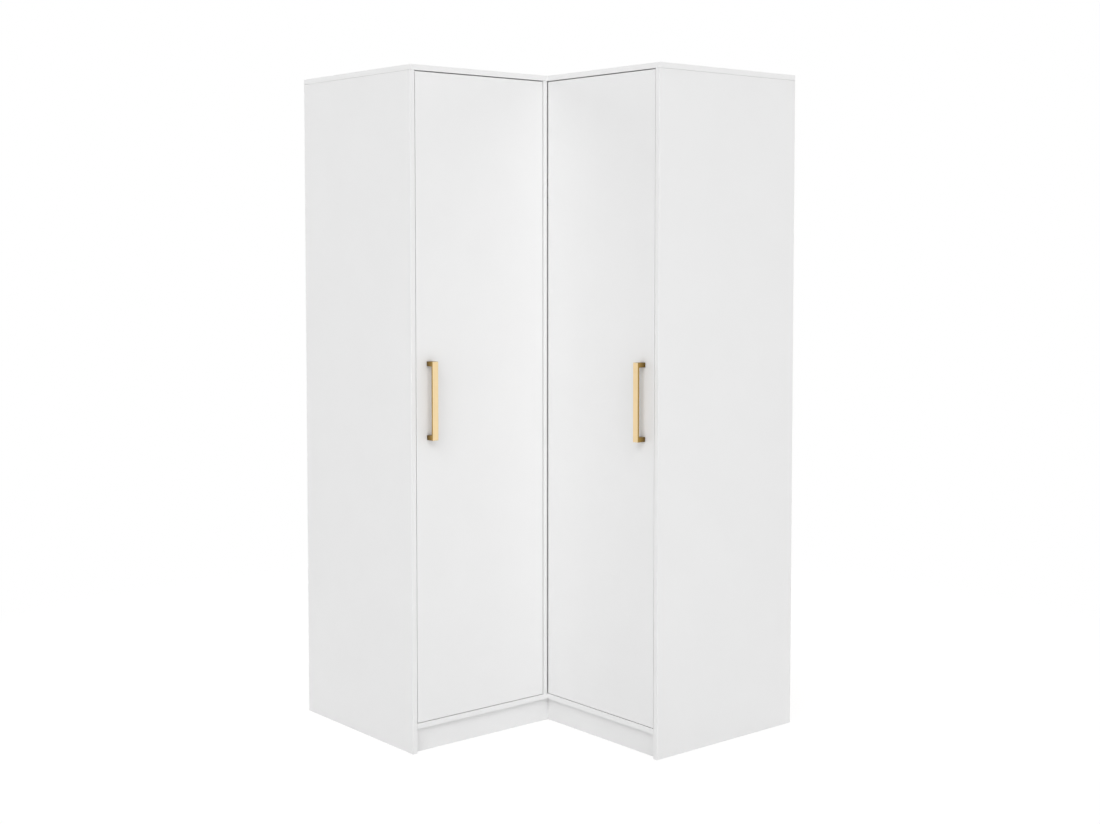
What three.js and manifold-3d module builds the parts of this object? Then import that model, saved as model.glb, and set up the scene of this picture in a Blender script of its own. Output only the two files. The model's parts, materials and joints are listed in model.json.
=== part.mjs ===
// A white corner wardrobe on an L-shaped plan, in millimetres, +Z up, standing on z = 0.
// The room's corner is at -X, +Y. The left wing runs along -Y and its door faces +X.
// The right wing runs along +X and its door faces -Y. Both doors hinge at the inner corner.
import * as THREE from "three";
import { mergeVertices } from "three/addons/utils/BufferGeometryUtils.js";
import Module from "manifold-3d";

const wasm = await Module();
wasm.setup();

// Carcass
const height = 2000;
const leftWingDepth = 577; // left wall to the face of the left door
const rightWingDepth = 571; // rear wall to the face of the right door
const doorWidth = 473; // both doors are alike
const hingeGap = 3; // open joint at a door's hinges and above it
const outerGap = 2; // open joint at a door's outer edge and below it
const boardThickness = 16;
const edgeRadius = 0.8; // rounding of a banded edge
const jointGap = 0.3; // hairline between pieces that meet
const plinthHeight = 72; // floor to the underside of the bottom panel
const plinthSetback = 15;
const rearPlinthInset = 60; // back of the wardrobe to a rear plinth
const stileWidth = 74;
const sheetThickness = 3;
const sheetEdgeRadius = 0.3;
const rebateWidth = 8; // how far a back sheet reaches over a board
const overrun = 5; // how far a cutter passes the face that it cuts

// Shelves and coat rail
const leftShelfCount = 4;
const hatSpaceHeight = 278; // hat shelf to the top panel
const shelfClearance = 6; // front of a left shelf to the hinge arms
const shelfPinRadius = 2.5;
const pinHoleClearance = 0.1;
const pinHoleDepth = 11;
const pinHolePitch = 32;
const pinHolesPerShelf = 5; // so a shelf can be set two steps up or down
const pinHoleInset = 50; // front or rear edge of a shelf to its row of holes
const pinHoleSides = 8;
const railWidth = 15;
const railHeight = 30;
const railWall = 1.2;
const railDrop = 60; // underside of the hat shelf to the middle of the rail
const socketWall = 2;
const socketDepth = 12;
const socketPlate = 2.5;
const socketEarLength = 14; // how far the plate passes the cup, above and below

// Handles, flat bows screwed on from behind
const handleLength = 229;
const handleWidth = 20;
const handleProjection = 30;
const handleBarDepth = 6;
const handleLegHeight = 14;
const handleInset = 46; // outer edge of the door to the middle of the handle
const handleCentreHeight = 1033;
const handleEdge = 0.6;
const screwRadius = 2;
const screwHeadRadius = 4;
const screwHeadHeight = 2.4;
const screwGrip = 10; // length of screw inside a handle's leg
const screwClearance = 0.4;

// Concealed hinges, four a door
const hingesPerDoor = 4;
const cupSides = 32;
const pinSides = 12;
const screwSides = 12;
const hingeEndInset = 82; // end of the door to the middle of the nearest hinge
const cupRadius = 17.5;
const cupDepth = 11.5; // how far the cup is let into the door
const cupWall = 1.5;
const cupFloor = 1;
const cupClearance = 0.3;
const flangeThickness = 1.5;
const flangeLength = 62;
const flangeWidth = 20;
const pinRadius = 1.5;
const pinClearance = 0.1;
const pinAboveFloor = 5.5; // floor of the cup to the middle of the pin
const knuckleRadius = 3.5;
const knuckleEndPlay = 1;
const swingClearance = 0.4; // least gap that the turning door's corner leaves
const armClearance = 1.5; // turning door's back corner to the crank of the arm
const armThickness = 3.2;
const neckJog = 10; // the neck leaves the cup askew by this much, to reach round the open door's edge
const armWidth = 18;
const armHeight = 7;
const armLength = 48; // from the crank to the rear end
const crankThickness = 5;
const plateThickness = 3;
const plateWidth = 16;
const plateWingLength = 48;
const plateWingSetback = 12; // crank to the front of the plate's wings

// Places of the main planes
const reachLeft = rightWingDepth + boardThickness + hingeGap + doorWidth + outerGap + boardThickness;
const reachRight = leftWingDepth + hingeGap + doorWidth + outerGap + boardThickness;
const wallX = -reachRight / 2;
const wallY = reachLeft / 2;
const leftFrontX = wallX + leftWingDepth;
const rightFrontY = wallY - rightWingDepth;
const leftEndY = wallY - reachLeft;
const rightEndX = wallX + reachRight;
const sheetFaceX = wallX + sheetThickness + jointGap;
const sheetFaceY = wallY - sheetThickness - jointGap;
const topUnderside = height - boardThickness;
const carcassTop = topUnderside - jointGap;
const floorTop = plinthHeight + boardThickness; // top face of the bottom panel
const standingZ = [floorTop + jointGap, carcassTop];

// Places on a door, from its hinge pin: s runs to the door's outer edge, t points out into the room
const pinDepth = boardThickness - cupDepth + cupFloor + pinAboveFloor;
const swingGap = hingeGap - swingClearance;
const pinInset = (pinDepth ** 2 - swingGap ** 2) / (2 * swingGap);
const doorBottom = floorTop + outerGap;
const doorTop = topUnderside - hingeGap;
const doorBackT = pinDepth - boardThickness;
const outerEdgeS = doorWidth - pinInset;
const panelFaceS = -pinInset - hingeGap;
const crankT = -Math.hypot(pinInset, doorBackT) - armClearance;
const armRearT = crankT - armLength;

const melamine = new THREE.MeshStandardMaterial({ color: 0xf1f1f0, roughness: 0.45 });
const hardboard = new THREE.MeshStandardMaterial({ color: 0xe9e8e4, roughness: 0.7 });
const gold = new THREE.MeshStandardMaterial({ color: 0xd9b878, roughness: 0.3, metalness: 1 });
const nickel = new THREE.MeshStandardMaterial({ color: 0xb9babb, roughness: 0.3, metalness: 1 });
const chrome = new THREE.MeshStandardMaterial({ color: 0xd8dadc, roughness: 0.12, metalness: 1 });

// Turns a shape's x, y and depth into the three axes named by the board's thin one
const facings = {
  x: new THREE.Matrix4().makeBasis(
    new THREE.Vector3(0, 1, 0),
    new THREE.Vector3(0, 0, 1),
    new THREE.Vector3(1, 0, 0),
  ),
  y: new THREE.Matrix4().makeBasis(
    new THREE.Vector3(0, 0, 1),
    new THREE.Vector3(1, 0, 0),
    new THREE.Vector3(0, 1, 0),
  ),
  z: new THREE.Matrix4(),
};

function solidOf(geometry) {
  const bare = geometry.clone();
  bare.deleteAttribute("normal");
  bare.deleteAttribute("uv");
  const merged = mergeVertices(bare);
  return new wasm.Manifold(
    new wasm.Mesh({
      numProp: 3,
      vertProperties: merged.attributes.position.array,
      triVerts: new Uint32Array(merged.index.array),
    }),
  );
}

function geometryOf(solid) {
  const mesh = solid.getMesh();
  const geometry = new THREE.BufferGeometry();
  geometry.setAttribute("position", new THREE.BufferAttribute(mesh.vertProperties, 3));
  geometry.setIndex(new THREE.BufferAttribute(mesh.triVerts, 1));
  geometry.computeVertexNormals();
  return geometry;
}

function join(first, ...others) {
  return geometryOf(others.reduce((whole, other) => whole.add(solidOf(other)), solidOf(first)));
}

function cut(first, ...cutters) {
  return geometryOf(cutters.reduce((rest, cutter) => rest.subtract(solidOf(cutter)), solidOf(first)));
}

// A sharp block between pairs of low and high values
function block(x, y, z) {
  const geometry = new THREE.BoxGeometry(x[1] - x[0], y[1] - y[0], z[1] - z[0]);
  return geometry.translate((x[0] + x[1]) / 2, (y[0] + y[1]) / 2, (z[0] + z[1]) / 2);
}

function polygon(points) {
  return new THREE.Shape(points.map(([x, y]) => new THREE.Vector2(x, y)));
}

// An outline given a thickness, with both rims rounded, its low face at zero
function slab(outline, thickness, radius, thinAxis = "z") {
  const geometry = new THREE.ExtrudeGeometry(outline, {
    depth: thickness - 2 * radius,
    bevelThickness: radius,
    bevelSize: radius,
    bevelOffset: -radius,
    bevelSegments: 2,
  });
  return geometry.translate(0, 0, radius).applyMatrix4(facings[thinAxis]);
}

// A rectangular board between pairs of low and high values, with its low corner at the origin
function boardGeometry(x, y, z, radius = edgeRadius) {
  const size = { x: x[1] - x[0], y: y[1] - y[0], z: z[1] - z[0] };
  const thinAxis = Object.keys(size).reduce((a, b) => (size[a] <= size[b] ? a : b));
  const [across, up] = { x: ["y", "z"], y: ["z", "x"], z: ["x", "y"] }[thinAxis];
  const outline = polygon([
    [0, 0],
    [size[across], 0],
    [size[across], size[up]],
    [0, size[up]],
  ]);
  return slab(outline, size[thinAxis], radius, thinAxis);
}

// A round cutter or shaft along local y or z, between a low and a high value
function rod(radius, span, axis, sides) {
  const geometry = new THREE.CylinderGeometry(radius, radius, span[1] - span[0], sides);
  geometry.translate(0, (span[0] + span[1]) / 2, 0);
  return axis === "z" ? geometry.rotateX(Math.PI / 2) : geometry;
}

function stadium(width, length) {
  const radius = width / 2;
  const straight = length / 2 - radius;
  const outline = new THREE.Shape();
  outline.absarc(0, straight, radius, 0, Math.PI, false);
  outline.absarc(0, -straight, radius, Math.PI, 2 * Math.PI, false);
  outline.closePath();
  return outline;
}

function stadiumRing(width, length, wall) {
  const outline = stadium(width, length);
  outline.holes.push(stadium(width - 2 * wall, length - 2 * wall));
  return outline;
}

// A straight run of an outline along x
function runAlongX(outline, length) {
  const settings = { depth: length, bevelEnabled: false, curveSegments: 8 };
  return new THREE.ExtrudeGeometry(outline, settings).applyMatrix4(facings.x);
}

const wardrobe = new THREE.Group();
const carcass = new THREE.Group();
wardrobe.add(carcass);

function addMesh(group, name, geometry, material, x = 0, y = 0, z = 0) {
  const mesh = new THREE.Mesh(geometry, material);
  mesh.name = name;
  mesh.position.set(x, y, z);
  group.add(mesh);
}

// A carcass board, placed by its low corner; cutters are in the wardrobe's frame
function addBoard(name, x, y, z, cutters = [], material = melamine, radius = edgeRadius) {
  const local = cutters.map((cutter) => cutter.translate(-x[0], -y[0], -z[0]));
  const whole = boardGeometry(x, y, z, radius);
  addMesh(carcass, name, local.length ? cut(whole, ...local) : whole, material, x[0], y[0], z[0]);
}

// Shelves of the left cupboard, evenly spaced, and the holes for their pins
const leftShelfFrontX = leftFrontX - pinDepth + armRearT - shelfClearance;
const compartment = (topUnderside - floorTop - leftShelfCount * boardThickness) / (leftShelfCount + 1);
const leftShelfUndersides = Array.from(
  { length: leftShelfCount },
  (unused, i) => floorTop + (i + 1) * compartment + i * boardThickness,
);

// Cutters for the pin holes, over a span of y
function shelfPinHoles(spanY) {
  const rowsX = [sheetFaceX + pinHoleInset, leftShelfFrontX - pinHoleInset];
  const steps = Array.from({ length: pinHolesPerShelf }, (unused, i) => i - (pinHolesPerShelf - 1) / 2);
  return leftShelfUndersides.flatMap((underside) =>
    steps.flatMap((step) =>
      rowsX.map((x) =>
        rod(shelfPinRadius + pinHoleClearance, spanY, "y", pinHoleSides).translate(
          x,
          0,
          underside - jointGap - shelfPinRadius + step * pinHolePitch,
        ),
      ),
    ),
  );
}

// Upright panels
const sideZ = [0, carcassTop];
const rebateZ = [-overrun, height];
const leftRebateX = [wallX - overrun, sheetFaceX];
const rightRebateY = [sheetFaceY, wallY + overrun];
const leftRebateEndY = leftEndY + boardThickness - rebateWidth;
const rightRebateStartX = wallX + boardThickness - rebateWidth;
const rightRebateEndX = rightEndX - boardThickness + rebateWidth;

addBoard("left_side_panel", [wallX, leftFrontX], [leftEndY, leftEndY + boardThickness], sideZ, [
  block(leftRebateX, [leftRebateEndY, leftEndY + boardThickness + overrun], rebateZ),
  ...shelfPinHoles([leftEndY + boardThickness - pinHoleDepth, leftEndY + boardThickness + overrun]),
]);
addBoard("right_side_panel", [rightEndX - boardThickness, rightEndX], [rightFrontY, wallY], sideZ, [
  block([rightEndX - boardThickness - overrun, rightRebateEndX], rightRebateY, rebateZ),
]);
addBoard("corner_side_panel", [wallX, wallX + boardThickness], [rightFrontY + jointGap, wallY], sideZ, [
  block([rightRebateStartX, wallX + boardThickness + overrun], rightRebateY, rebateZ),
]);
const partitionY = [rightFrontY - boardThickness, rightFrontY];
const partitionHoleY = [partitionY[0] - overrun, partitionY[0] + pinHoleDepth];
addBoard(
  "partition_panel",
  [sheetFaceX, leftFrontX],
  partitionY,
  standingZ,
  shelfPinHoles(partitionHoleY),
);

// The stile starts behind the right door, so the joint beside the partition's strip is open to the rear
const stileFrontY = rightFrontY + boardThickness + jointGap;
const stileRearY = stileFrontY + stileWidth;
const stileX = [leftFrontX - boardThickness, leftFrontX];
addBoard("hinge_stile", stileX, [stileFrontY, stileRearY], standingZ);

// L-shaped top and bottom panels
const rebateTop = topUnderside + rebateWidth;
const topOutline = polygon([
  [wallX, leftEndY],
  [leftFrontX, leftEndY],
  [leftFrontX, rightFrontY],
  [rightEndX, rightFrontY],
  [rightEndX, wallY],
  [wallX, wallY],
]);
const topRebateZ = [-overrun, rebateWidth];
addMesh(
  carcass,
  "top_panel",
  cut(
    slab(topOutline, boardThickness, edgeRadius),
    block(leftRebateX, [leftRebateEndY, rightFrontY + jointGap], topRebateZ),
    block([rightRebateStartX, rightRebateEndX], rightRebateY, topRebateZ),
  ),
  melamine,
  0,
  0,
  topUnderside,
);

const innerLeftY = leftEndY + boardThickness + jointGap;
const innerRightX = rightEndX - boardThickness - jointGap;
const innerCornerX = wallX + boardThickness + jointGap;
const bottomOutline = polygon([
  [sheetFaceX, innerLeftY],
  [leftFrontX, innerLeftY],
  [leftFrontX, rightFrontY],
  [innerRightX, rightFrontY],
  [innerRightX, sheetFaceY],
  [innerCornerX, sheetFaceY],
  [innerCornerX, rightFrontY],
  [sheetFaceX, rightFrontY],
]);
const bottomGeometry = slab(bottomOutline, boardThickness, edgeRadius);
addMesh(carcass, "bottom_panel", bottomGeometry, melamine, 0, 0, plinthHeight);

// Plinths under the bottom panel
const plinthZ = [0, plinthHeight - jointGap];
const leftPlinthX = leftFrontX - plinthSetback - boardThickness;
const rightPlinthY = rightFrontY + plinthSetback;
const rightRearPlinthY = wallY - rearPlinthInset - boardThickness;
const leftRearPlinthX = wallX + rearPlinthInset;
addBoard(
  "left_plinth",
  [leftPlinthX, leftPlinthX + boardThickness],
  [innerLeftY, rightPlinthY - jointGap],
  plinthZ,
);
addBoard(
  "right_plinth",
  [leftPlinthX, innerRightX],
  [rightPlinthY, rightPlinthY + boardThickness],
  plinthZ,
);
addBoard(
  "left_rear_plinth",
  [leftRearPlinthX, leftRearPlinthX + boardThickness],
  [innerLeftY, rightRearPlinthY - jointGap],
  plinthZ,
);
addBoard(
  "right_rear_plinth",
  [innerCornerX, innerRightX],
  [rightRearPlinthY, rightRearPlinthY + boardThickness],
  plinthZ,
);

// Hardboard backs in the rebates
const sheetZ = [plinthHeight, rebateTop - jointGap];
addBoard(
  "left_back_sheet",
  [wallX, wallX + sheetThickness],
  [leftRebateEndY + jointGap, rightFrontY],
  sheetZ,
  [],
  hardboard,
  sheetEdgeRadius,
);
addBoard(
  "right_back_sheet",
  [rightRebateStartX + jointGap, rightRebateEndX - jointGap],
  [wallY - sheetThickness, wallY],
  sheetZ,
  [],
  hardboard,
  sheetEdgeRadius,
);

// Shelves: one for hats across the corner cupboard, the others in the left cupboard
const hatShelfY = [stileRearY + jointGap, sheetFaceY];
const hatShelfTop = topUnderside - hatSpaceHeight;
const hatShelfZ = [hatShelfTop - boardThickness, hatShelfTop];
addBoard("hat_shelf", [innerCornerX, innerRightX], hatShelfY, hatShelfZ);

const leftShelfY = [innerLeftY, rightFrontY - boardThickness - jointGap];
leftShelfUndersides.forEach((low, i) => {
  addBoard("left_shelf_" + (i + 1), [sheetFaceX, leftShelfFrontX], leftShelfY, [low, low + boardThickness]);
});

// Coat rail between two screwed sockets
const socketWidth = railWidth + 2 * (jointGap + socketWall);
const socketHeight = railHeight + 2 * (jointGap + socketWall);
const railY = (hatShelfY[0] + hatShelfY[1]) / 2;
const railZ = hatShelfZ[0] - railDrop;
const socketGeometry = join(
  runAlongX(stadium(socketWidth, socketHeight + 2 * socketEarLength), socketPlate),
  runAlongX(stadiumRing(socketWidth, socketHeight, socketWall), socketDepth),
);
addMesh(carcass, "rail_socket_corner", socketGeometry, chrome, innerCornerX, railY, railZ);
addMesh(carcass, "rail_socket_side", socketGeometry, chrome, innerRightX, railY, railZ);
carcass.getObjectByName("rail_socket_side").rotation.z = Math.PI;

const railStartX = innerCornerX + socketPlate + jointGap;
const railLength = innerRightX - socketPlate - jointGap - railStartX;
const railGeometry = runAlongX(stadiumRing(railWidth, railHeight, railWall), railLength);
addMesh(carcass, "hanging_rail", railGeometry, chrome, railStartX, railY, railZ);

// Door pieces, made once about the left door's pin and mirrored for the right door
const hingeSpan = doorTop - doorBottom - 2 * hingeEndInset;
const hingeHeights = Array.from(
  { length: hingesPerDoor },
  (unused, i) => doorBottom + hingeEndInset + (hingeSpan * i) / (hingesPerDoor - 1),
);
const handleS = outerEdgeS - handleInset;
const handleFootT = pinDepth + jointGap;
const handleLegHeights = [-1, 1].map(
  (end) => handleCentreHeight + (end * (handleLength - handleLegHeight)) / 2,
);

function doorGeometry() {
  const whole = boardGeometry([-pinInset, outerEdgeS], [doorBackT, pinDepth], [doorBottom, doorTop]);
  whole.translate(-pinInset, doorBackT, doorBottom);
  const boreRadius = cupRadius + cupClearance;
  const boreT = [doorBackT - overrun, doorBackT + cupDepth + cupClearance];
  const holeT = [doorBackT - overrun, pinDepth + overrun];
  const bores = hingeHeights.map((z) => rod(boreRadius, boreT, "y", cupSides).translate(0, 0, z));
  const screwHoles = handleLegHeights.map((z) =>
    rod(screwRadius + screwClearance, holeT, "y", screwSides).translate(handleS, 0, z),
  );
  return cut(whole, ...bores, ...screwHoles);
}

// A flat bow with its leg ends on the door
function handleGeometry() {
  const low = handleCentreHeight - handleLength / 2;
  const high = handleCentreHeight + handleLength / 2;
  const frontT = pinDepth + handleProjection;
  const barBackT = frontT - handleBarDepth;
  const outline = polygon([
    [handleFootT, low],
    [frontT, low],
    [frontT, high],
    [handleFootT, high],
    [handleFootT, high - handleLegHeight],
    [barBackT, high - handleLegHeight],
    [barBackT, low + handleLegHeight],
    [handleFootT, low + handleLegHeight],
  ]);
  const bow = slab(outline, handleWidth, handleEdge, "x").translate(handleS - handleWidth / 2, 0, 0);
  const holeT = [handleFootT - overrun, handleFootT + screwGrip + screwClearance];
  const holes = handleLegHeights.map((z) =>
    rod(screwRadius + screwClearance, holeT, "y", screwSides).translate(handleS, 0, z),
  );
  return cut(bow, ...holes);
}

// A pan-head machine screw through the door into a handle's leg
function screwGeometry() {
  const headHighT = doorBackT - jointGap;
  const profile = [
    [0, headHighT - screwHeadHeight],
    [screwHeadRadius, headHighT - screwHeadHeight],
    [screwHeadRadius, headHighT],
    [screwRadius, headHighT],
    [screwRadius, handleFootT + screwGrip],
    [0, handleFootT + screwGrip],
  ];
  return new THREE.LatheGeometry(profile.map(([r, t]) => new THREE.Vector2(r, t)), screwSides);
}

// The cup that is let into the door, with the holes that its pin turns in
function hingeCupGeometry() {
  const outerT = doorBackT + cupDepth;
  const floorT = outerT - cupFloor;
  const flangeT = [doorBackT - jointGap - flangeThickness, doorBackT - jointGap];
  const innerRadius = cupRadius - cupWall;
  const profile = [
    [0, floorT],
    [innerRadius, floorT],
    [innerRadius, flangeT[0]],
    [cupRadius, flangeT[0]],
    [cupRadius, outerT],
    [0, outerT],
  ];
  const cup = new THREE.LatheGeometry(profile.map(([r, t]) => new THREE.Vector2(r, t)), cupSides);
  const flange = cut(
    block([-flangeWidth / 2, flangeWidth / 2], flangeT, [-flangeLength / 2, flangeLength / 2]),
    rod((innerRadius + cupRadius) / 2, [flangeT[0] - overrun, flangeT[1] + overrun], "y", cupSides),
  );
  const pinHoleZ = [-cupRadius - overrun, cupRadius + overrun];
  const pinHole = rod(pinRadius + pinClearance, pinHoleZ, "z", pinSides);
  return cut(join(cup, flange), pinHole);
}

// The cranked arm, with the knuckle and pin that the cup turns on
function hingeArmGeometry() {
  const seatS = panelFaceS + jointGap + plateThickness + jointGap;
  const halfNeck = armThickness / 2;
  const outline = polygon([
    [-halfNeck, 0],
    [neckJog - halfNeck, -neckJog],
    [neckJog - halfNeck, crankT],
    [seatS, crankT],
    [seatS, armRearT],
    [seatS + armHeight, armRearT],
    [seatS + armHeight, crankT - crankThickness],
    [neckJog + halfNeck, crankT - crankThickness],
    [neckJog + halfNeck, -neckJog],
    [halfNeck, 0],
  ]);
  const arm = new THREE.ExtrudeGeometry(outline, { depth: armWidth, bevelEnabled: false });
  arm.translate(0, 0, -armWidth / 2);
  const knuckleEnd = cupRadius - cupWall - knuckleEndPlay;
  const pinEnd = cupRadius - cupClearance;
  return join(
    arm,
    rod(knuckleRadius, [-knuckleEnd, knuckleEnd], "z", pinSides),
    rod(pinRadius, [-pinEnd, pinEnd], "z", pinSides),
  );
}

// The mounting plate, a flat cross screwed to the partition or the stile
function hingePlateGeometry() {
  const s = [panelFaceS + jointGap, panelFaceS + jointGap + plateThickness];
  const wingFrontT = crankT - plateWingSetback;
  return join(
    block(s, [armRearT, crankT], [-plateWidth / 2, plateWidth / 2]),
    block(s, [wingFrontT - plateWidth, wingFrontT], [-plateWingLength / 2, plateWingLength / 2]),
  );
}

const door = doorGeometry();
const handle = handleGeometry();
const screw = screwGeometry();
const cup = hingeCupGeometry();
const arm = hingeArmGeometry();
const plate = hingePlateGeometry();

function addDoor(side, group) {
  addMesh(group, side + "_door", door, melamine);
  addMesh(group, side + "_handle", handle, gold);
  ["lower", "upper"].forEach((end, i) => {
    addMesh(group, side + "_handle_screw_" + end, screw, nickel, handleS, 0, handleLegHeights[i]);
  });
  hingeHeights.forEach((z, i) => {
    addMesh(group, side + "_hinge_cup_" + (i + 1), cup, nickel, 0, 0, z);
    addMesh(group, side + "_hinge_arm_" + (i + 1), arm, nickel, 0, 0, z);
    addMesh(group, side + "_hinge_plate_" + (i + 1), plate, nickel, 0, 0, z);
  });
  wardrobe.add(group);
}

const leftDoorGroup = new THREE.Group();
leftDoorGroup.position.set(leftFrontX - pinDepth, rightFrontY - boardThickness - hingeGap - pinInset, 0);
leftDoorGroup.rotation.z = -Math.PI / 2;
addDoor("left", leftDoorGroup);

const rightDoorGroup = new THREE.Group();
rightDoorGroup.position.set(leftFrontX + hingeGap + pinInset, rightFrontY + pinDepth, 0);
rightDoorGroup.scale.y = -1;
addDoor("right", rightDoorGroup);

export default wardrobe;
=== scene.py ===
"""Finishes and fittings of a white corner wardrobe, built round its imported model.

Lengths are metres in the wardrobe's own frame, +Z up. The left wing runs along -Y and its door faces +X,
the right wing runs along +X and its door faces -Y. Outlines and profiles are drawn in millimetres.
"""

import json
import math

import bmesh
import bpy
from bpy.props import FloatProperty, FloatVectorProperty, PointerProperty
from bpy.types import Operator, Panel, PropertyGroup
from mathutils import Matrix, Vector


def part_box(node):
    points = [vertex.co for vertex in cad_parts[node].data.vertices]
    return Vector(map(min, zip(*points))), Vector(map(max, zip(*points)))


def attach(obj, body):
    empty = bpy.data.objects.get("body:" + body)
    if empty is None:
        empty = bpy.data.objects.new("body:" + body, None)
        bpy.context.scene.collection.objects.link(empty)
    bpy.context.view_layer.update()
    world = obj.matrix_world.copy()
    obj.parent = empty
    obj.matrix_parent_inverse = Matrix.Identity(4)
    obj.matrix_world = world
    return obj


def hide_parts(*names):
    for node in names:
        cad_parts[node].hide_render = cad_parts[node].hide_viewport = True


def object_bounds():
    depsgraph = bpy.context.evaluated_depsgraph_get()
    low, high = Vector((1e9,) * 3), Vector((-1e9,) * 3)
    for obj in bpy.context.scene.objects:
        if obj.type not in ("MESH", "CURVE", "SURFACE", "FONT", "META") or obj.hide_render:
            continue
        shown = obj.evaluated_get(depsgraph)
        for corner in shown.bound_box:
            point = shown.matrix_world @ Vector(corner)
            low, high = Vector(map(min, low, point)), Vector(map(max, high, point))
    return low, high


bl_info = {
    "name": "Corner Wardrobe",
    "version": (1, 0, 0),
    "blender": (4, 5, 0),
    "location": "3D Viewport > Sidebar > Wardrobe",
    "description": "Gives the packed corner wardrobe its finishes, handles, hinges and small fittings",
    "category": "Object",
}

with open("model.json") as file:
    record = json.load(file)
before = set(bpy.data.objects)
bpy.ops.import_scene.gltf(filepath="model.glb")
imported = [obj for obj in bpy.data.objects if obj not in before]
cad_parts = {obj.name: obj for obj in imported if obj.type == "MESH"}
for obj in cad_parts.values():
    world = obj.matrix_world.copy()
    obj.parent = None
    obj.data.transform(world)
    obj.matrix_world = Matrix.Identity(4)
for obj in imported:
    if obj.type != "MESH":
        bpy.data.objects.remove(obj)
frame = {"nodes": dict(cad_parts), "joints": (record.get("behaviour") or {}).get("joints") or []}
cad_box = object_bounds()

MM = 0.001
SIDES = ("left", "right")
SMOOTH_BELOW = math.radians(38)  # faces that meet at a smaller angle are shaded as one surface

# Turns an outline's x and y to y and z, and its depth to x; in a door's frame these are t, z and s
UPRIGHT = Matrix(((0, 0, 1), (1, 0, 0), (0, 1, 0))).to_4x4()


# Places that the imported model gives

def size_of(node):
    low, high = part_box(node)
    return high - low


def middle_of(node):
    low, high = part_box(node)
    return (low + high) / 2


def count_of(stem):
    """How many nodes have names that start with a stem."""
    return sum(name.startswith(stem) for name in frame["nodes"])


def pin_of(side):
    """Where a door's hinge pin stands."""
    joint = next(j for j in frame["joints"] if j["name"] == side + "_door_swing")
    return Vector(joint["pos_m"])


def door_frame(side):
    """Turns s, t and z about a door's pin into the wardrobe's frame: s runs to the door's outer edge, and t
    runs into the room."""
    pin = pin_of(side)
    s, t = ((0, -1, 0), (1, 0, 0)) if side == "left" else ((1, 0, 0), (0, -1, 0))
    turn = Matrix((s, t, (0, 0, 1))).transposed().to_4x4()
    return Matrix.Translation((pin.x, pin.y, 0)) @ turn


def local_box(side, node):
    """Lowest and highest corner of a node in its door's s, t and z, in millimetres."""
    back = door_frame(side).inverted()
    low, high = (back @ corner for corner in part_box(node))
    return [min(a, b) / MM for a, b in zip(low, high)], [max(a, b) / MM for a, b in zip(low, high)]


# Outlines, in millimetres

def rounded(corners, steps=4):
    """A closed outline from corners, each given as x, y and the radius of the arc that rounds it."""
    outline = []
    for i, (x, y, radius) in enumerate(corners):
        corner = Vector((x, y))
        if radius == 0:
            outline.append(tuple(corner))
            continue
        before = (Vector(corners[i - 1][:2]) - corner).normalized()
        after = (Vector(corners[(i + 1) % len(corners)][:2]) - corner).normalized()
        half = before.angle(after) / 2
        centre = corner + (before + after).normalized() * (radius / math.sin(half))
        start = corner + before * (radius / math.tan(half)) - centre
        end = corner + after * (radius / math.tan(half)) - centre
        outline += [tuple(centre + start.slerp(end, k / steps) * radius) for k in range(steps + 1)]
    return outline


def circle(radius, sides):
    turns = [2 * math.pi * k / sides for k in range(sides)]
    return [(radius * math.cos(a), radius * math.sin(a)) for a in turns]


def oval(width, height, steps):
    """A slot-shaped outline, taller than it is wide. Its arcs stop just short of the ends' middles."""
    x, y = width / 2, height / 2
    radius = 0.999 * x
    return rounded([(-x, -y, radius), (x, -y, radius), (x, y, radius), (-x, y, radius)], steps)


# Meshes, drawn in millimetres and kept in metres

def mesh_from(bm):
    """A closed mesh with its doubles merged and its faces pointing out."""
    bmesh.ops.remove_doubles(bm, verts=bm.verts, dist=1e-5)
    bmesh.ops.recalc_face_normals(bm, faces=bm.faces)
    bmesh.ops.scale(bm, vec=(MM, MM, MM), verts=bm.verts)
    mesh = bpy.data.meshes.new("drawn")
    bm.to_mesh(mesh)
    bm.free()
    return mesh


def slab(loops, span, rim):
    """A flat piece from an outline and its holes, between two heights along z, with both rims rounded."""
    bm = bmesh.new()
    edges = []
    for loop in loops:
        corners = [bm.verts.new((x, y, span[0])) for x, y in loop]
        edges += [bm.edges.new((corners[i - 1], corners[i])) for i in range(len(corners))]
    if len(loops) == 1:
        bm.faces.new(corners)
    else:
        bmesh.ops.triangle_fill(bm, use_beauty=True, edges=edges)
    grown = bmesh.ops.extrude_face_region(bm, geom=bm.faces[:])["geom"]
    raised = [v for v in grown if isinstance(v, bmesh.types.BMVert)]
    bmesh.ops.translate(bm, vec=(0, 0, span[1] - span[0]), verts=raised)
    bmesh.ops.recalc_face_normals(bm, faces=bm.faces)
    rims = [e for e in bm.edges if {round(abs(f.normal.z)) for f in e.link_faces} == {0, 1}]
    bmesh.ops.bevel(bm, geom=rims, offset=rim, segments=3, profile=0.5, affect="EDGES", clamp_overlap=True)
    return mesh_from(bm)


def turned(profile, sides):
    """A round piece about z from pairs of radius and height that start and end on the axis."""
    bm = bmesh.new()
    rings = []
    for radius, height in profile:
        if radius == 0:
            rings.append([bm.verts.new((0, 0, height))] * sides)
        else:
            rings.append([bm.verts.new((x, y, height)) for x, y in circle(radius, sides)])
    for low, high in zip(rings, rings[1:]):
        for k in range(sides):
            corners = dict.fromkeys((low[k - 1], low[k], high[k], high[k - 1]))
            bm.faces.new(corners)
    return mesh_from(bm)


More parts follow.
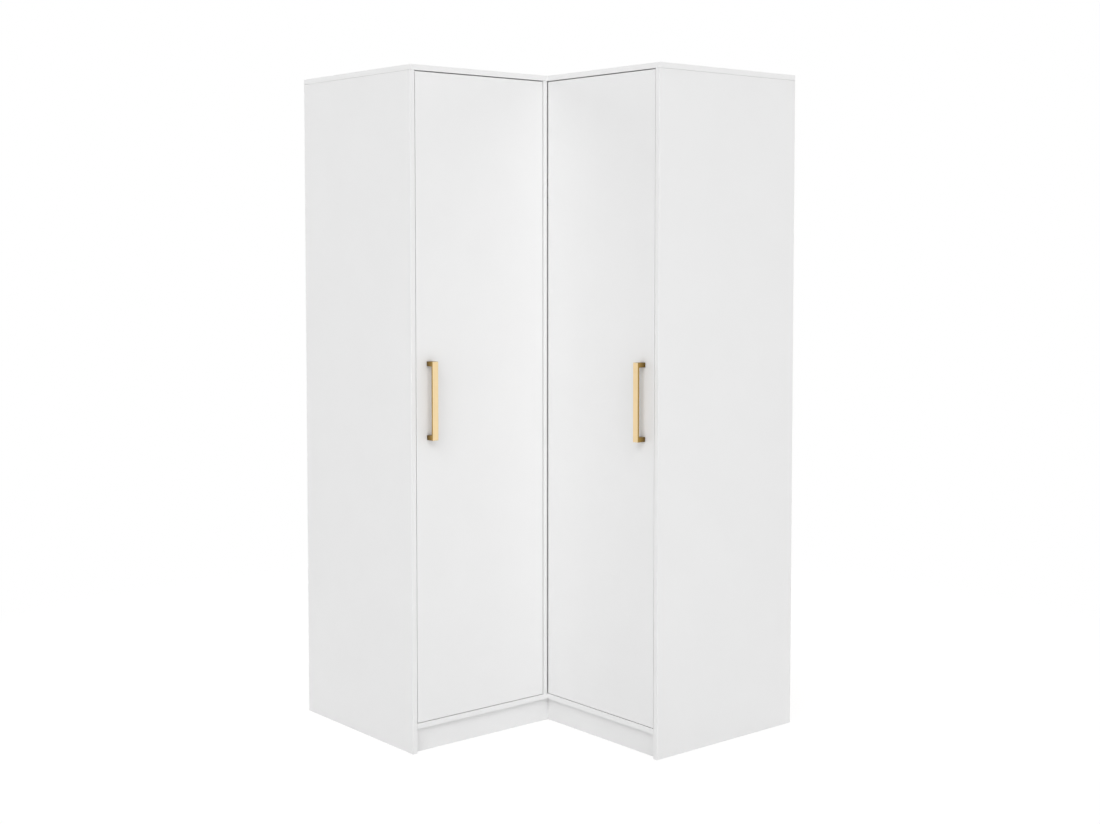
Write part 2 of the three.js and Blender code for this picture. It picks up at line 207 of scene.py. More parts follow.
def rod(radius, half_length, edge, sides):
    """A pin about z, the edges of its two ends cut back."""
    end = [(radius, half_length - edge), (radius - edge, half_length), (0, half_length)]
    return turned([(r, -z) for r, z in reversed(end)] + end, sides)


def arc(centre, radius, start, end, steps=4):
    """Points of an arc between two angles in degrees."""
    angles = [math.radians(start + (end - start) * k / steps) for k in range(steps + 1)]
    return [(centre[0] + radius * math.cos(a), centre[1] + radius * math.sin(a)) for a in angles]


def joined(*meshes):
    """Several meshes as one; the parts are removed."""
    bm = bmesh.new()
    for mesh in meshes:
        bm.from_mesh(mesh)
        bpy.data.meshes.remove(mesh)
    mesh = bpy.data.meshes.new("joined")
    bm.to_mesh(mesh)
    bm.free()
    return mesh


def moved(mesh, matrix):
    """The mesh placed by a matrix, with its faces still pointing out where the matrix mirrors it."""
    mesh.transform(matrix)
    if matrix.determinant() < 0:
        bm = bmesh.new()
        bm.from_mesh(mesh)
        bmesh.ops.remove_doubles(bm, verts=bm.verts, dist=1e-8)
        bmesh.ops.recalc_face_normals(bm, faces=bm.faces)
        bm.to_mesh(mesh)
        bm.free()
    return mesh


def facing(place, direction):
    """Puts a fitting, drawn with its head along +z, at a place in metres with its head along a direction."""
    turn = Vector(direction).to_track_quat("Z", "Y")
    return Matrix.Translation(place) @ turn.to_matrix().to_4x4()


def evaluated_mesh(carrier):
    """Plain mesh of an object as its modifiers leave it; the modifiers are then removed."""
    depsgraph = bpy.context.evaluated_depsgraph_get()
    mesh = bpy.data.meshes.new_from_object(carrier.evaluated_get(depsgraph))
    carrier.modifiers.clear()
    return mesh


def scratch_object(mesh):
    carrier = bpy.data.objects.new("scratch", mesh)
    bpy.context.scene.collection.objects.link(carrier)
    return carrier


def carved(body, cutter):
    """A mesh with another one cut out of it."""
    whole, tool = scratch_object(body), scratch_object(cutter)
    modifier = whole.modifiers.new("cut", "BOOLEAN")
    modifier.operation = "DIFFERENCE"
    modifier.solver = "EXACT"
    modifier.object = tool
    mesh = evaluated_mesh(whole)
    for carrier in (whole, tool):
        bpy.data.objects.remove(carrier)
    return mesh


def add_piece(name, mesh, material, body, stands_for=()):
    """A finished piece: smooth between soft angles, riding on its body, in place of what it stands for."""
    mesh.materials.clear()
    mesh.materials.append(material)
    mesh.name = name
    mesh.shade_smooth()
    mesh.set_sharp_from_angle(angle=SMOOTH_BELOW)
    piece = bpy.data.objects.new(name, mesh)
    bpy.context.scene.collection.objects.link(piece)
    normals = piece.modifiers.new("even shading", "WEIGHTED_NORMAL")
    normals.keep_sharp = True
    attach(piece, body)
    if stands_for:
        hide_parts(*stands_for)


# Node trees

def add_node(tree, kind, inputs=None, **settings):
    """A node with its settings. Each input is a value, a socket, or a node whose output in use is linked."""
    node = tree.nodes.new(kind)
    for name, value in settings.items():
        setattr(node, name, value)
    for key, value in (inputs or {}).items():
        socket = next(s for i, s in enumerate(node.inputs) if key == i or s.enabled and key == s.name)
        if isinstance(value, bpy.types.Node):
            value = next(s for s in value.outputs if s.enabled)
        if isinstance(value, bpy.types.NodeSocket):
            tree.links.new(value, socket)
        else:
            socket.default_value = value
    return node


def new_tree(name, sockets):
    """A Geometry Nodes tree, made anew where one of this name exists, and the sockets of its named inputs."""
    tree = bpy.data.node_groups.get(name) or bpy.data.node_groups.new(name, "GeometryNodeTree")
    tree.nodes.clear()
    tree.interface.clear()
    tree.interface.new_socket("Geometry", in_out="OUTPUT", socket_type="NodeSocketGeometry")
    for label, kind in sockets.items():
        tree.interface.new_socket(label, in_out="INPUT", socket_type="NodeSocket" + kind)
    return tree, add_node(tree, "NodeGroupInput").outputs


def end_tree(tree, geometry, material):
    """Makes the copies real, gives them their material and ends the tree."""
    real = add_node(tree, "GeometryNodeRealizeInstances", {"Geometry": geometry})
    dressed = add_node(tree, "GeometryNodeSetMaterial", {"Geometry": real, "Material": material})
    add_node(tree, "NodeGroupOutput", {"Geometry": dressed})
    return tree


def row_tree():
    """Copies the carrier's own mesh at even steps along a line."""
    tree, given = new_tree("Fittings In A Row", {
        "Fitting": "Geometry", "Count": "Int", "Step": "Vector", "Material": "Material"})
    places = add_node(tree, "GeometryNodeMeshLine", {
        "Count": given["Count"], "Offset": given["Step"]}, mode="OFFSET")
    copies = add_node(tree, "GeometryNodeInstanceOnPoints", {"Points": places, "Instance": given["Fitting"]})
    return end_tree(tree, copies, given["Material"])


def places_tree():
    """Sets a fitting on each of the carrier's points, its head along the point's facing, turned at random."""
    tree, given = new_tree("Fittings At Places", {
        "Places": "Geometry", "Fitting": "Object", "Most Turn": "Float", "Seed": "Int",
        "Material": "Material"})
    fitting = add_node(tree, "GeometryNodeObjectInfo", {"Object": given["Fitting"]})
    direction = add_node(tree, "GeometryNodeInputNamedAttribute", {
        "Name": "facing"}, data_type="FLOAT_VECTOR")
    aimed = add_node(tree, "FunctionNodeAlignRotationToVector", {"Vector": direction}, axis="Z")
    turn = add_node(tree, "FunctionNodeRandomValue", {
        "Max": given["Most Turn"], "Seed": given["Seed"]}, data_type="FLOAT")
    spin = add_node(tree, "FunctionNodeAxisAngleToRotation", {"Axis": (0, 0, 1), "Angle": turn})
    both = add_node(tree, "FunctionNodeRotateRotation", {
        "Rotation": aimed, "Rotate By": spin}, rotation_space="LOCAL")
    copies = add_node(tree, "GeometryNodeInstanceOnPoints", {
        "Points": given["Places"], "Instance": fitting.outputs["Geometry"], "Rotation": both})
    return end_tree(tree, copies, given["Material"])


def nail_tree():
    """Sets a nail at even steps round a rectangle in the carrier's x and y, its head along +z."""
    tree, given = new_tree("Nails Round A Sheet", {
        "Nail": "Geometry", "Width": "Float", "Height": "Float", "Spacing": "Float", "Material": "Material"})
    edge = add_node(tree, "GeometryNodeCurvePrimitiveQuadrilateral", {
        "Width": given["Width"], "Height": given["Height"]}, mode="RECTANGLE")
    places = add_node(tree, "GeometryNodeCurveToPoints", {
        "Curve": edge, "Length": given["Spacing"]}, mode="LENGTH")
    copies = add_node(tree, "GeometryNodeInstanceOnPoints", {"Points": places, "Instance": given["Nail"]})
    return end_tree(tree, copies, given["Material"])


def run_tree(mesh, tree, **values):
    """The plain mesh that a tree makes from a carrier's mesh, its inputs set by their identifiers."""
    carrier = scratch_object(mesh)
    modifier = carrier.modifiers.new(tree.name, "NODES")
    modifier.node_group = tree
    for socket in tree.interface.items_tree:
        key = socket.name.lower().replace(" ", "_")
        if socket.in_out == "INPUT" and key in values:
            modifier[socket.identifier] = values[key]
    result = evaluated_mesh(carrier)
    bpy.data.objects.remove(carrier)
    return result


def at_places(places, fitting_mesh, material, most_turn=0.0, seed=0):
    """One mesh of a fitting at each place, given as a point in metres and the direction of its head."""
    points = bpy.data.meshes.new("places")
    points.from_pydata([place for place, direction in places], [], [])
    directions = points.attributes.new("facing", "FLOAT_VECTOR", "POINT")
    directions.data.foreach_set("vector", [c for place, direction in places for c in direction])
    fitting = scratch_object(fitting_mesh)
    mesh = run_tree(points, places_tree(), fitting=fitting, most_turn=most_turn, seed=seed, material=material)
    bpy.data.objects.remove(fitting)
    return mesh


# Finishes

def linear(hex_colour):
    """An sRGB hex colour as linear red, green and blue."""
    parts = [int(hex_colour[i:i + 2], 16) / 255 for i in (1, 3, 5)]
    return tuple(p / 12.92 if p <= 0.04045 else ((p + 0.055) / 1.055) ** 2.4 for p in parts)


def colour_property(name, description, hex_colour):
    return FloatVectorProperty(
        name=name, description=description, default=linear(hex_colour), subtype="COLOR", size=3, min=0, max=1)


def share_property(name, description, default):
    return FloatProperty(name=name, description=description, default=default, subtype="FACTOR", min=0, max=1)


def length_property(name, description, millimetres):
    return FloatProperty(
        name=name, description=description, default=millimetres * MM, subtype="DISTANCE", unit="LENGTH",
        precision=4, min=0)


class FinishSettings(PropertyGroup):
    """Colours and gloss of the wardrobe's finishes."""
    melamine: colour_property("Melamine", "White face of the boards", "#F1F1F1")
    edge_band: colour_property("Edge band", "Plastic band on the boards' edges", "#F1F1F1")
    chipboard: colour_property("Chipboard", "Raw core where an edge isn't banded", "#C9A878")
    lacquer: colour_property("Lacquer", "Inner face of the hardboard backs", "#EBEAE6")
    hardboard: colour_property("Hardboard", "Raw rear face of the backs", "#8F6A48")
    gold: colour_property("Gold", "Face of the anodised handles", "#FDE4B5")
    # Painted shade: the side and foot tones stand in for the shade on the handles' sides and the shadow where
    # the legs meet the door
    gold_side: colour_property("Gold side painted shade", "Sides of the handles' bars", "#BE9C5A")
    gold_foot_painted_shadow: colour_property("Gold foot painted shadow", "Sides of the handles' legs, next to the door", "#64502C")
    nickel: colour_property("Nickel", "Plating of hinges, pins and screws", "#C9C8C4")
    chrome: colour_property("Chrome", "Plating of the coat rail", "#E2E4E6")
    zinc: colour_property("Zinc", "Heads of the nails", "#B4B6B8")
    cap: colour_property("Cap", "Plastic caps over the connectors", "#F2F2EF")
    board_roughness: share_property("Board roughness", "Satin of the melamine", 0.42)
    gold_roughness: share_property("Gold roughness", "Satin of the handles", 0.45)


def new_material(name):
    """A material, made anew where one of this name exists, with its node tree and its points."""
    material = bpy.data.materials.get(name) or bpy.data.materials.new(name)
    material.use_nodes = True
    tree = material.node_tree
    tree.nodes.clear()
    return material, tree, add_node(tree, "ShaderNodeTexCoord").outputs["Object"]


def end_material(material, inputs):
    """Gives a material its shader and ends its tree."""
    shader = add_node(material.node_tree, "ShaderNodeBsdfPrincipled", inputs)
    add_node(material.node_tree, "ShaderNodeOutputMaterial", {"Surface": shader})
    return material


def toned(colour, share=1.0):
    """A colour at a share of its brightness, opaque."""
    return (*(share * part for part in colour), 1.0)


def varied(tree, point, size_mm, low=0.0, high=1.0, detail=2.0):
    """A value that drifts between two limits over patches of a size in millimetres."""
    noise = add_node(tree, "ShaderNodeTexNoise", {
        "Vector": point, "Scale": 1 / (size_mm * MM), "Detail": detail})
    return add_node(tree, "ShaderNodeMapRange", {
        "Value": noise, "From Min": 0.3, "From Max": 0.7, "To Min": low, "To Max": high})


def clouded(tree, point, colour, size_mm, share):
    """A colour that drifts down to a share of its brightness over patches of a size."""
    return add_node(tree, "ShaderNodeMix", {
        "Factor": varied(tree, point, size_mm), "A": toned(colour, share), "B": toned(colour)},
        data_type="RGBA")


def grained(tree, point, size_mm, depth_mm, strength, stretch=(1, 1, 1)):
    """Normals over bumps of a grain size, their pattern stretched along the axes."""
    pulled = add_node(tree, "ShaderNodeMapping", {"Vector": point, "Scale": [1 / s for s in stretch]})
    noise = add_node(tree, "ShaderNodeTexNoise", {
        "Vector": pulled, "Scale": 1 / (size_mm * MM), "Detail": 3.0})
    return add_node(tree, "ShaderNodeBump", {
        "Strength": strength, "Distance": depth_mm * MM, "Height": noise})


def inside(tree, point, low, high):
    """One at points in a box and zero outside it."""
    raised = add_node(tree, "ShaderNodeVectorMath", {0: point, 1: low}, operation="MAXIMUM")
    held = add_node(tree, "ShaderNodeVectorMath", {0: raised, 1: high}, operation="MINIMUM")
    off = add_node(tree, "ShaderNodeVectorMath", {0: point, 1: held}, operation="DISTANCE")
    rounding = 1e-6
    return add_node(tree, "ShaderNodeMath", {0: off, 1: rounding}, operation="LESS_THAN")


def pin_hole_zone():
    """Corners of the box with the shelf pin holes, in which a board's sideways surfaces are holes."""
    shelf_low, shelf_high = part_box("left_shelf_1")
    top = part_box(f"left_shelf_{count_of('left_shelf_')}")[1].z
    margin, beyond = 20 * MM, 100 * MM
    low = (shelf_low.x + margin, cad_box[0].y, shelf_low.z - beyond)
    return low, (shelf_high.x - margin, cad_box[1].y, top + beyond)


def board_material(colours, axis):
    """White melamine-faced chipboard: satin resin paper on the faces, a slightly glossier plastic band on the
    edges, and raw chipboard on the edges that stand against the wall or on the floor."""
    material, tree, point = new_material("melamine_faced_chipboard_" + "xyz"[axis])
    normal = point.node.outputs["Normal"]
    across = Matrix.Identity(3)[axis]
    facing_across = add_node(tree, "ShaderNodeVectorMath", {0: normal, 1: across}, operation="DOT_PRODUCT")
    straight = add_node(tree, "ShaderNodeMath", {0: facing_across}, operation="ABSOLUTE")
    least_on_face = 0.7  # cosine of about 45 degrees
    edge = add_node(tree, "ShaderNodeMath", {0: straight, 1: least_on_face}, operation="LESS_THAN")

    # A raw edge lies just inside the wall's or the floor's plane and faces it: a short step out crosses it
    step, slack, far = 6 * MM, 1 * MM, 10.0
    low, high = cad_box
    stepped = add_node(tree, "ShaderNodeVectorMath", {
        0: normal, 1: (step, step, step), 2: point}, operation="MULTIPLY_ADD")
    banded = inside(tree, stepped, (low.x - slack, -far, low.z - slack), (far, high.y + slack, far))
    if axis == 1:
        hole = inside(tree, point, *pin_hole_zone())
        banded = add_node(tree, "ShaderNodeMath", {0: banded, 1: hole}, operation="SUBTRACT", use_clamp=True)
    bare = add_node(tree, "ShaderNodeMath", {0: 1.0, 1: banded}, operation="SUBTRACT")
    raw = add_node(tree, "ShaderNodeMath", {0: edge, 1: bare}, operation="MULTIPLY")

    # Chips are 1 to 4 mm long; the face's pearl grain is about 0.3 mm and is drawn at 2 mm, so that it shows
    chip, darkest_chip = 2.5 * MM, 0.62
    chips = add_node(tree, "ShaderNodeTexVoronoi", {"Vector": point, "Scale": 1 / chip})
    shade = add_node(tree, "ShaderNodeSeparateColor", {"Color": chips.outputs["Color"]})
    core = add_node(tree, "ShaderNodeMix", {
        "Factor": shade, "A": toned(colours.chipboard, darkest_chip),
        "B": toned(colours.chipboard)}, data_type="RGBA")
    skin = add_node(tree, "ShaderNodeMix", {
        "Factor": edge, "A": clouded(tree, point, colours.melamine, size_mm=140, share=0.99),
        "B": toned(colours.edge_band)}, data_type="RGBA")
    colour = add_node(tree, "ShaderNodeMix", {"Factor": raw, "A": skin, "B": core}, data_type="RGBA")

    rough, drift, band_gloss, raw_dullness = colours.board_roughness, 0.03, 0.06, 0.5
    satin = varied(tree, point, size_mm=60, low=rough - drift, high=rough + drift)
    sheen = add_node(tree, "ShaderNodeMath", {0: edge, 1: -band_gloss, 2: satin}, operation="MULTIPLY_ADD")
    gloss = add_node(tree, "ShaderNodeMath", {0: raw, 1: raw_dullness, 2: sheen}, operation="MULTIPLY_ADD")
    return end_material(material, {
        "Base Color": colour, "Roughness": gloss,
        "Normal": grained(tree, point, size_mm=2.0, depth_mm=0.05, strength=0.06)})


def hardboard_material(colours, side):
    """Thin hardboard: white lacquer inside, raw brown fibre with a sieve print on the side to the wall."""
    outward = {"left": (-1, 0, 0), "right": (0, 1, 0)}[side]
    material, tree, point = new_material("lacquered_hardboard_" + side)
    normal = point.node.outputs["Normal"]
    out = add_node(tree, "ShaderNodeVectorMath", {0: normal, 1: outward}, operation="DOT_PRODUCT")
    most_on_lacquer = -0.5
    bare = add_node(tree, "ShaderNodeMath", {0: out, 1: most_on_lacquer}, operation="GREATER_THAN")
    dark, pale, most_pale = toned(colours.hardboard, 0.7), toned(colours.hardboard, 1.3), 0.25
    fibre = add_node(tree, "ShaderNodeMix", {
        "Factor": varied(tree, point, size_mm=3, detail=6.0), "A": dark,
        "B": toned(colours.hardboard)}, data_type="RGBA")
    brown = add_node(tree, "ShaderNodeMix", {
        "Factor": varied(tree, point, size_mm=45, high=most_pale), "A": fibre, "B": pale}, data_type="RGBA")
    colour = add_node(tree, "ShaderNodeMix", {
        "Factor": bare, "A": toned(colours.lacquer), "B": brown}, data_type="RGBA")
    lacquer_roughness, bare_dullness = 0.5, 0.35
    dull = add_node(tree, "ShaderNodeMath", {
        0: bare, 1: bare_dullness, 2: lacquer_roughness}, operation="MULTIPLY_ADD")
    # The sieve's wires lie 1.5 mm apart and are drawn at 3 mm, so that they show
    return end_material(material, {
        "Base Color": colour, "Roughness": dull,
        "Normal": grained(tree, point, size_mm=3.0, depth_mm=0.1, strength=0.2)})


def metal_material(name, colour, roughness, grain_mm, strength, stretch=(1, 1, 1)):
    """A metal finish: gloss that drifts a little, and a fine grain left by how its surface was made."""
    material, tree, point = new_material(name)
    return end_material(material, {
        "Base Color": clouded(tree, point, colour, size_mm=18, share=0.95), "Metallic": 1.0,
        "Roughness": varied(tree, point, size_mm=12, low=roughness * 0.85, high=roughness * 1.15),
        "Normal": grained(tree, point, grain_mm, depth_mm=0.02, strength=strength, stretch=stretch)})


def gold_material(colours, side):
    """Anodised aluminium, brushed along the bow: a pale satin gold on the face to the room, and painted shade
    on the sides, a deeper tone that darkens down the legs to the door as a painted shadow. Its lines, 0.1 mm
    wide, are drawn at 0.5 mm, so that they show."""
    out = door_frame(side).to_3x3() @ Vector((0, 1, 0))
    foot, front = (pin_of(side).dot(out) + corner[1] * MM for corner in local_box(side, side + "_handle"))
    material, tree, point = new_material("brushed_gold_anodised_aluminium_" + side)
    height = add_node(tree, "ShaderNodeVectorMath", {0: point, 1: out}, operation="DOT_PRODUCT")
    # Painted shadow: the legs' colour darkens towards the door, where their feet stand in shade
    foot_shadow_fade = add_node(tree, "ShaderNodeMapRange", {"Value": height, "From Min": foot, "From Max": front})
    facing_out = add_node(tree, "ShaderNodeVectorMath", {
        0: point.node.outputs["Normal"], 1: out}, operation="DOT_PRODUCT")
    # Painted shade: faces turned away from the room take a deeper tone, as if in shade
    side_shade_mask = add_node(tree, "ShaderNodeMapRange", {
        "Value": facing_out, "From Min": 0.9, "From Max": 0.4})
    painted_shade_tone = add_node(tree, "ShaderNodeMix", {
        "Factor": foot_shadow_fade, "A": toned(colours.gold_foot_painted_shadow), "B": toned(colours.gold_side)}, data_type="RGBA")
    colour = add_node(tree, "ShaderNodeMix", {
        "Factor": side_shade_mask, "A": clouded(tree, point, colours.gold, size_mm=18, share=0.98),
        "B": painted_shade_tone}, data_type="RGBA")
    rough = colours.gold_roughness
    return end_material(material, {
        "Base Color": colour, "Metallic": 1.0,
        "Roughness": varied(tree, point, size_mm=12, low=rough * 0.9, high=rough * 1.1),
        "Normal": grained(tree, point, size_mm=0.5, depth_mm=0.02, strength=0.07, stretch=(1, 1, 40))})


def nickel_material(colours):
    """Nickel-plated pressed steel: bright but soft, as the plating follows the rolled sheet."""
    return metal_material("nickel_plated_steel", colours.nickel, roughness=0.26, grain_mm=1.2, strength=0.08)


def chrome_material(colours):
    """Chromed steel tube: near mirror, with the faint lines that drawing it leaves along its length."""
    return metal_material(
        "chromed_steel_tube", colours.chrome, roughness=0.1, grain_mm=1.0, strength=0.04, stretch=(40, 1, 1))


def zinc_material(colours):
    """Zinc-plated wire nail: dull and slightly blue."""
    return metal_material("zinc_plated_nail", colours.zinc, roughness=0.4, grain_mm=0.6, strength=0.1)


def cap_material(colours):
    """Moulded polyethylene cap: soft white with a faint spark texture."""
    material, tree, point = new_material("moulded_polyethylene")
    return end_material(material, {
        "Base Color": clouded(tree, point, colours.cap, size_mm=10, share=0.97),
        "Roughness": varied(tree, point, size_mm=4, low=0.38, high=0.5),
        "Normal": grained(tree, point, size_mm=0.8, depth_mm=0.03, strength=0.1)})


# Boards and backs

class WARDROBE_OT_boards(Operator):
    """Finish the boards and the hardboard backs"""
    bl_idname = "wardrobe.boards"
    bl_label = "Boards"

    def execute(self, context):
        colours = context.scene.wardrobe_finishes
        boards = [board_material(colours, axis) for axis in range(3)]
        backs = {side + "_back_sheet": hardboard_material(colours, side) for side in SIDES}
        fittings = ("handle", "screw", "hinge_cup", "hinge_arm", "hinge_plate", "rail")
        for name, node in frame["nodes"].items():
            if name in backs:
                material = backs[name]
            elif name == "hinge_stile" or not any(word in name for word in fittings):
                size = size_of(name)
                material = boards[min(range(3), key=lambda axis: size[axis])]
            else:
                continue
            node.data.materials.clear()
            node.data.materials.append(material)
        return {"FINISHED"}


# Screws

def cross_recess(head_radius, head_height):
    """Cutter for a cross recess in the top of a screw head, narrowing to its floor."""
    reach, width = 0.62 * head_radius, 0.17 * head_radius
    outline = []
    for k in range(4):
        turn = Matrix.Rotation(math.pi / 2 * k, 2)
        outline += [tuple(turn @ Vector(p)) for p in ((reach, -width), (reach, width), (width, width))]
    # Height as a share of the head's, and width as a share of the outline's: above the head, and at the floor
    ends = ((1.5, 1.15), (0.35, 0.55))
    bm = bmesh.new()
    rings = []
    for up, share in ends:
        rings.append([bm.verts.new((x * share, y * share, head_height * up)) for x, y in outline])
        bm.faces.new(rings[-1])
    for k in range(len(outline)):
        bm.faces.new((rings[0][k - 1], rings[0][k], rings[1][k], rings[1][k - 1]))
    return mesh_from(bm)


def screw_mesh(head_radius, head_height, shank_radius, shank_length):
    """A pan-head screw seated at z = 0, its head up and its shank down."""
    sides = 20
    dome_shares = ((0, 1), (0.35, 0.98), (0.65, 0.88), (0.88, 0.62), (0.98, 0.3), (1, 0.08), (0.97, 0))
    dome = [(head_radius * r, head_height * h) for r, h in dome_shares]
    shank = [(shank_radius, 0), (shank_radius, -shank_length), (0, -shank_length - shank_radius)]
    return carved(turned(dome + shank, sides), cross_recess(head_radius, head_height))


# Handles

class HandleSettings(PropertyGroup):
    """Rounding of the handles."""
    outer_corner: length_property("Outer corner", "Rounding where the bar meets a leg, outside", 0.8)
    inner_corner: length_property("Inner corner", "Rounding where the bar meets a leg, inside", 1.5)
    rim: length_property("Rim", "Rounding along the sides of the bow", 0.6)


def handle_bow(side, settings):
    """A flat bow, its two legs standing on the door."""
    (near, foot, bottom), (far, front, top) = local_box(side, side + "_handle")
    bar_depth, leg_height = 6.0, 14.0
    bar_back, bottom_leg, top_leg = front - bar_depth, bottom + leg_height, top - leg_height
    outer, inner = settings.outer_corner / MM, settings.inner_corner / MM
    outline = rounded([
        (foot, bottom, 0), (front, bottom, outer), (front, top, outer), (foot, top, 0),
        (foot, top_leg, 0), (bar_back, top_leg, inner), (bar_back, bottom_leg, inner), (foot, bottom_leg, 0),
    ])
    return moved(slab([outline], (near, far), settings.rim / MM), UPRIGHT)


class WARDROBE_OT_handles(Operator):
    """Make the two handles and the screws that hold them"""
    bl_idname = "wardrobe.handles"
    bl_label = "Handles"

    def execute(self, context):
        colours = context.scene.wardrobe_finishes
        nickel = nickel_material(colours)
        for side in SIDES:
            place = door_frame(side)
            bow = moved(handle_bow(side, context.scene.wardrobe_handles), place)
            gold = gold_material(colours, side)
            add_piece(side + "_handle_bow", bow, gold, side + "_leaf", [side + "_handle"])

            lower, upper = (side + "_handle_screw_" + end for end in ("lower", "upper"))
            low, high = local_box(side, lower)
            centre = [(a + b) / 2 for a, b in zip(low, high)]
            head_height, shank_radius = 2.4, 2.0
            seat = low[1] + head_height
            screw = screw_mesh((high[2] - low[2]) / 2, head_height, shank_radius, high[1] - seat)
            screw = moved(screw, facing(Vector((centre[0], seat, centre[2])) * MM, (0, -1, 0)))
            step = middle_of(upper).z - middle_of(lower).z
            pair = run_tree(screw, row_tree(), count=2, step=(0.0, 0.0, step), material=nickel)
            add_piece(side + "_handle_screws", moved(pair, place), nickel, side + "_leaf",
                      [lower, upper])
        return {"FINISHED"}


# Hinges

WING_SETBACK = 12.0  # front of a mounting plate to the front of its wings
WING_WIDTH = 16.0


class HingeSettings(PropertyGroup):
    """Rounding and screws of the concealed hinges."""
    lip: length_property("Cup lip", "Rounding of the cup's lip", 0.6)
    floor_corner: length_property("Cup corner", "Rounding inside, where the cup's wall meets its floor", 3)
    arm_rim: length_property("Arm rim", "Rounding along both sides of an arm", 0.7)
    plate_rim: length_property("Plate rim", "Rounding round a mounting plate", 0.5)
    screw_radius: length_property("Screw head radius", "Radius of the fixing screws' heads", 3.4)
    screw_height: length_property("Screw head height", "How far the fixing screws' heads stand up", 1.1)


def cup_mesh(side, settings):
    """A deep-drawn cup with its flange, about the pin."""
    low, high = local_box(side, side + "_hinge_cup_1")
    radius, wall, floor, sides = (high[0] - low[0]) / 2, 1.5, 1.0, 48
    lip, corner = settings.lip / MM, settings.floor_corner / MM
    inner = radius - wall
    depth = high[1] - low[1]
    profile = [(0, depth - floor)]
    profile += arc((inner - corner, depth - floor - corner), corner, 90, 0)
    profile += arc((inner + lip, lip), lip, 180, 270)
    profile += arc((radius - lip, lip), lip, 270, 360)
    profile += [(radius, depth - floor), (radius - floor, depth), (0, depth)]

    # The flange follows the cup on both sides and ends in a straight wing above and below it
    flange, flange_rim, margin, wing_corner = 1.5, 0.3, 1.2, 4
    half_width, half_length, around = 10.0, (high[2] - low[2]) / 2, radius + margin
    reach = math.degrees(math.asin(half_width / around))
    outline = []
    for start, end in ((0, 1), (180, -1)):
        outline += arc((0, 0), around, start + reach - 90, start + 90 - reach, steps=14)
        x, y = end * half_width, end * half_length
        outline += rounded([(x, y, wing_corner), (-x, y, wing_corner), (0, 0, 0)], steps=5)[:-1]
    plate = slab([outline, circle(inner + wall / 2, sides)], (0, flange), flange_rim)
    # The outline's x and y are the door's s and z, and the cup deepens along t
    turn = Matrix(((1, 0, 0), (0, 0, 1), (0, 1, 0))).to_4x4()
    return moved(joined(turned(profile, sides), plate), Matrix.Translation((0, low[1] * MM, 0)) @ turn)


def arm_mesh(side, settings):
    """The cranked arm with its knuckle, its pin and its two setting screws, about the pin."""
    low, high = local_box(side, side + "_hinge_arm_1")
    seat, rear, crank = low[0], low[1], local_box(side, side + "_hinge_plate_1")[1][1]
    half, jog, tall, crank_thick, half_width = 1.6, 10.0, 7.0, 5.0, 9.0
    top, crank_rear = seat + tall, crank - crank_thick
    outline = rounded([
        (-half, 0, 0), (jog - half, -jog, 2), (jog - half, crank, 1), (seat, crank, 2), (seat, rear, 0.8),
        (top, rear, 2), (top, crank_rear, 2), (jog + half, crank_rear, 2.5), (jog + half, -jog, 4),
        (half, 0, 0),
    ])
    arm = slab([outline], (-half_width, half_width), settings.arm_rim / MM)
    knuckle = rod(radius=3.5, half_length=15.0, edge=0.4, sides=24)
    pin = rod(radius=1.5, half_length=(high[2] - low[2]) / 2, edge=0.3, sides=16)
    front_inset, rear_inset = 8, 10
    screws = []
    for t, radius in ((crank_rear - front_inset, 4.2), (rear + rear_inset, 3.4)):
        screw = screw_mesh(radius, head_height=1.3, shank_radius=1.5, shank_length=3)
        screws.append(moved(screw, facing(Vector((top, t, 0)) * MM, (1, 0, 0))))
    return joined(arm, knuckle, pin, *screws)


def plate_mesh(side, settings):
    """The cross-shaped mounting plate, about the pin."""
    low, high = local_box(side, side + "_hinge_plate_1")
    strip, wing = 8.0, (high[2] - low[2]) / 2
    rear, front = low[1], high[1]
    wing_front = front - WING_SETBACK
    wing_rear = wing_front - WING_WIDTH
    half = [
        (rear, strip, 2), (wing_rear, strip, 2), (wing_rear, wing, 3),
        (wing_front, wing, 3), (wing_front, strip, 2), (front, strip, 2),
    ]
    outline = rounded([(t, -z, radius) for t, z, radius in half] + half[::-1])
    return moved(slab([outline], (low[0], high[0]), settings.plate_rim / MM), UPRIGHT)


